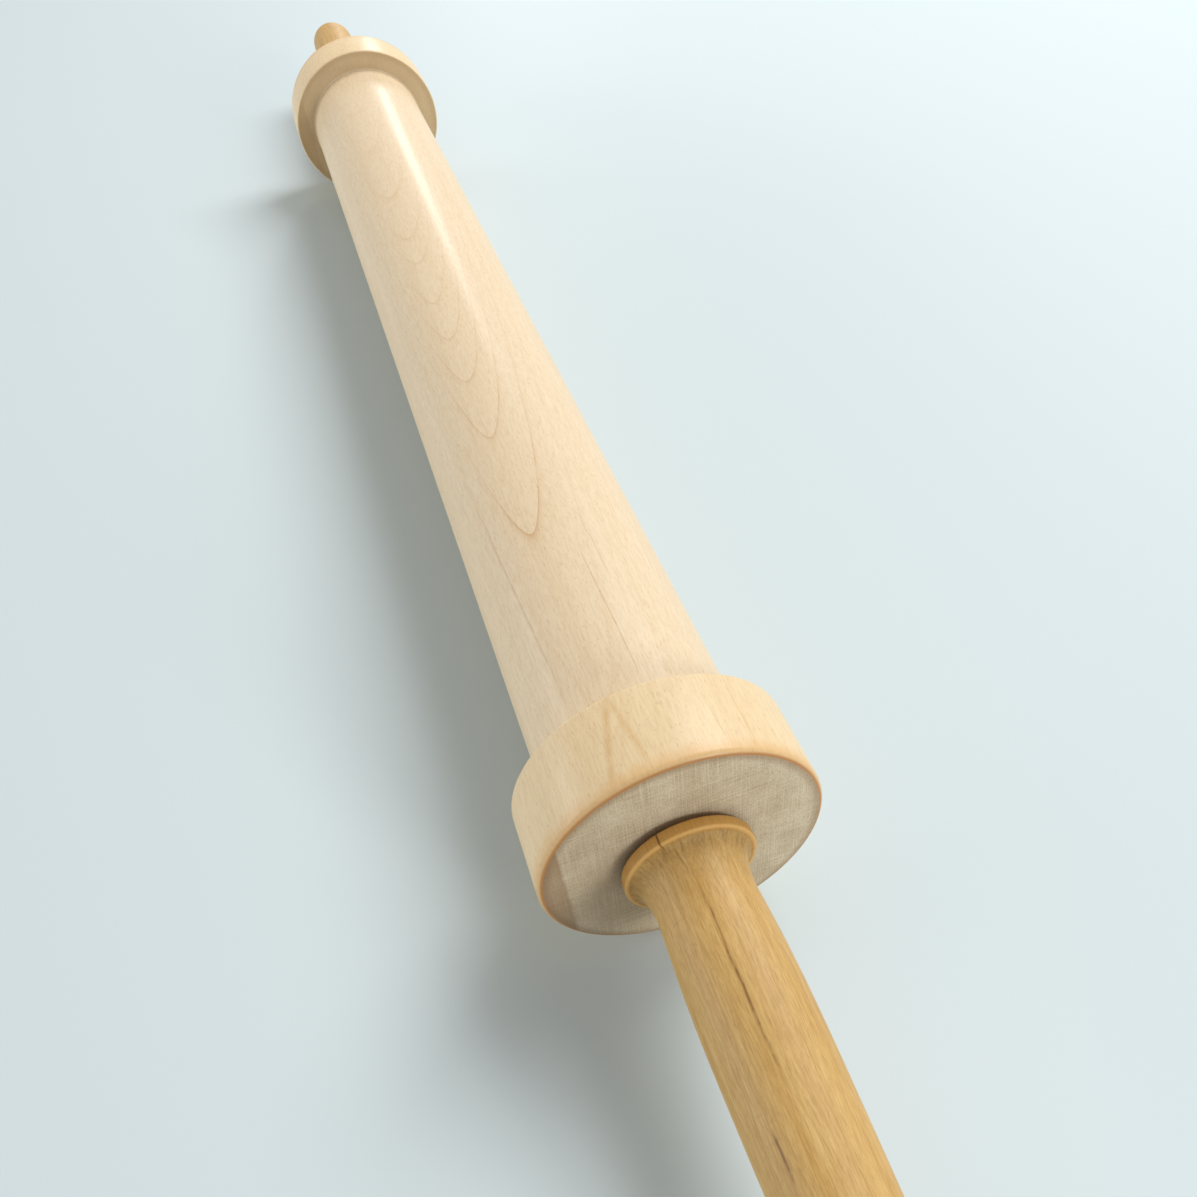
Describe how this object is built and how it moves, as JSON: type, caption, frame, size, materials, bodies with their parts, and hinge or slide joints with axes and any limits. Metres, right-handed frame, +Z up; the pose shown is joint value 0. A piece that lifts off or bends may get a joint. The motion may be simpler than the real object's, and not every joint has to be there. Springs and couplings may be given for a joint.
{
  "type": "rolling pin",
  "caption": "Wooden rolling pin whose barrel has a raised rim at each end to set the dough's thickness, running on ball bearings round a steel axle with turned handles.",
  "frame": {"origin": "under the middle of the barrel, on the plane that the two rims rest on", "axes": "+X along the axle towards the near handle, +Z up from the rest plane to the axle"},
  "size_m": [0.753, 0.076, 0.076],
  "materials": {
    "barrel_maple": "pale hard maple, fine sanded, satin oil",
    "handle_birch": "yellow birch, clear varnish, semi-gloss",
    "axle_steel": "drawn rod, fine lengthwise lines",
    "spacer_steel": "turned, bright zinc",
    "race_steel": "ground bearing steel",
    "shield_steel": "pressed sheet",
    "ball_steel": "lapped bearing balls",
    "cage_nylon": "natural moulded nylon",
    "spring_steel": "blackened spring steel",
    "insert_brass": "turned brass"
  },
  "bodies": {
    "barrel": {"barrel": "barrel_maple", "near_outer_race": "race_steel", "near_inner_shield": "shield_steel", "near_outer_shield": "shield_steel", "far_outer_race": "race_steel", "far_inner_shield": "shield_steel", "far_outer_shield": "shield_steel"},
    "axle": {"axle": "axle_steel", "near_handle": "handle_birch", "near_insert": "insert_brass", "near_spacer": "spacer_steel", "near_snap_ring": "spring_steel", "near_inner_race": "race_steel", "far_handle": "handle_birch", "far_insert": "insert_brass", "far_spacer": "spacer_steel", "far_snap_ring": "spring_steel", "far_inner_race": "race_steel"},
    "near_cage": {"near_cage": "cage_nylon", "near_ball_1": "ball_steel", "near_ball_2": "ball_steel", "near_ball_3": "ball_steel", "near_ball_4": "ball_steel", "near_ball_5": "ball_steel", "near_ball_6": "ball_steel", "near_ball_7": "ball_steel"},
    "far_cage": {"far_cage": "cage_nylon", "far_ball_1": "ball_steel", "far_ball_2": "ball_steel", "far_ball_3": "ball_steel", "far_ball_4": "ball_steel", "far_ball_5": "ball_steel", "far_ball_6": "ball_steel", "far_ball_7": "ball_steel"}
  },
  "joints": [
    {"name": "axle_spin", "type": "hinge", "parent": "barrel", "child": "axle", "pos_m": [0, 0, 0.03802], "axis": [1, 0, 0], "continuous": true},
    {"name": "near_cage_spin", "type": "hinge", "parent": "barrel", "child": "near_cage", "pos_m": [0.24964, 0, 0.03802], "axis": [1, 0, 0], "continuous": true},
    {"name": "far_cage_spin", "type": "hinge", "parent": "barrel", "child": "far_cage", "pos_m": [-0.24964, 0, 0.03802], "axis": [1, 0, 0], "continuous": true}
  ],
  "couplings": [
    {"joint": "near_cage_spin", "follows": "axle_spin", "ratio": 0.375},
    {"joint": "far_cage_spin", "follows": "axle_spin", "ratio": 0.375}
  ]
}
